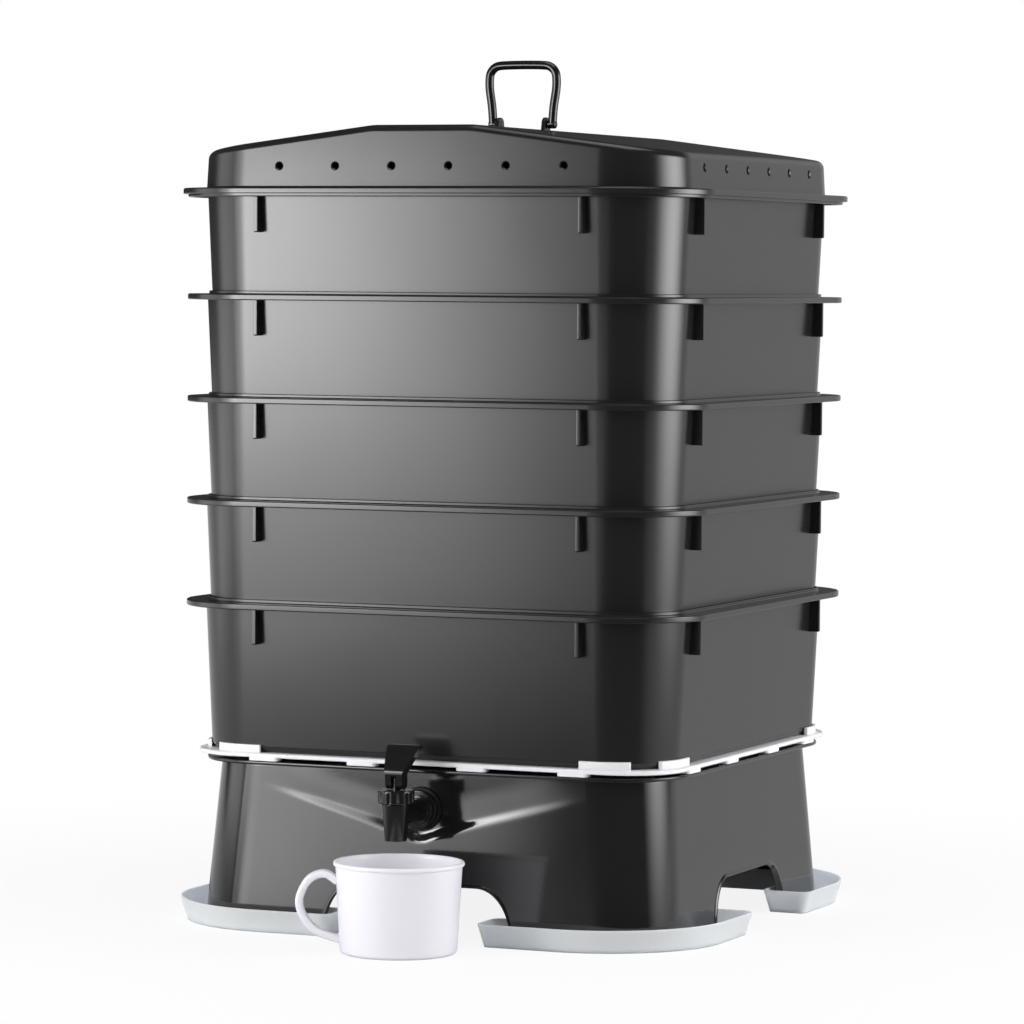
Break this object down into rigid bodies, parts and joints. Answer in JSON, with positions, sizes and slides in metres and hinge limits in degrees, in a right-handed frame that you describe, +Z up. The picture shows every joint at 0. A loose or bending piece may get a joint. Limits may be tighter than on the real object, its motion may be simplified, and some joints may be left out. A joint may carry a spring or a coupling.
{
  "type": "wormery",
  "caption": "Worm composter: stacked nesting trays under a vented gable lid, on a legged collector base with a lever tap, moat shoes and a cup.",
  "frame": {"origin": "on the floor, at the centre of the whole set's footprint, the cup included", "axes": "+Z up, the tap and cup at the front towards -Y, +X to the right seen from the front"},
  "size_m": [0.414, 0.5037, 0.6194],
  "materials": {
    "tray_plastic": "satin black polypropylene",
    "base_plastic": "glossier black polypropylene",
    "tap_plastic": "black moulded plastic",
    "white_plastic": "satin white polypropylene",
    "shoe_plastic": "milky translucent polypropylene",
    "seal_rubber": "matt black rubber",
    "seat_silicone": "white silicone"
  },
  "bodies": {
    "stand": {"base": "base_plastic", "moat_shoe_front_right": "shoe_plastic", "moat_shoe_back_right": "shoe_plastic", "moat_shoe_back_left": "shoe_plastic", "moat_shoe_front_left": "shoe_plastic", "tap_body": "tap_plastic", "tap_gasket": "seal_rubber", "tap_nut": "tap_plastic", "tap_bonnet": "tap_plastic"},
    "separator": {"filter_plate": "white_plastic"},
    "fifth_tray": {"tray_5": "tray_plastic"},
    "fourth_tray": {"tray_4": "tray_plastic"},
    "third_tray": {"tray_3": "tray_plastic"},
    "second_tray": {"tray_2": "tray_plastic"},
    "top_tray": {"tray_1": "tray_plastic"},
    "cover": {"lid": "tray_plastic"},
    "bail": {"lid_handle": "tap_plastic"},
    "valve": {"tap_stem": "tap_plastic", "tap_seat": "seat_silicone", "tap_lever_pin": "tap_plastic"},
    "lever": {"tap_lever": "tap_plastic"},
    "mug": {"cup": "white_plastic"}
  },
  "joints": [
    {"name": "separator_lift", "type": "slide", "parent": "stand", "child": "separator", "axis": [0, 0, 1], "range_m": [0, 0.06]},
    {"name": "fifth_tray_lift", "type": "slide", "parent": "separator", "child": "fifth_tray", "axis": [0, 0, 1], "range_m": [0, 0.08]},
    {"name": "fourth_tray_lift", "type": "slide", "parent": "fifth_tray", "child": "fourth_tray", "axis": [0, 0, 1], "range_m": [0, 0.08]},
    {"name": "third_tray_lift", "type": "slide", "parent": "fourth_tray", "child": "third_tray", "axis": [0, 0, 1], "range_m": [0, 0.08]},
    {"name": "second_tray_lift", "type": "slide", "parent": "third_tray", "child": "second_tray", "axis": [0, 0, 1], "range_m": [0, 0.08]},
    {"name": "top_tray_lift", "type": "slide", "parent": "second_tray", "child": "top_tray", "axis": [0, 0, 1], "range_m": [0, 0.08]},
    {"name": "lid_lift", "type": "slide", "parent": "top_tray", "child": "cover", "axis": [0, 0, 1], "range_m": [0, 0.12]},
    {"name": "handle_swing", "type": "hinge", "parent": "cover", "child": "bail", "pos_m": [0, 0.045, 0.5731], "axis": [1, 0, 0], "range_deg": [-85, 85]},
    {"name": "valve_lift", "type": "slide", "parent": "stand", "child": "valve", "axis": [0, 0, 1], "range_m": [0, 0.003]},
    {"name": "lever_pull", "type": "hinge", "parent": "valve", "child": "lever", "pos_m": [0, -0.1705, 0.1125], "axis": [1, 0, 0], "range_deg": [0, 60]},
    {"name": "cup_slide", "type": "slide", "parent": "stand", "child": "mug", "axis": [0, -1, 0], "range_m": [0, 0.15]}
  ],
  "couplings": [
    {"joint": "valve_lift", "follows": "lever_pull", "m_per_rad": 0.00286}
  ]
}
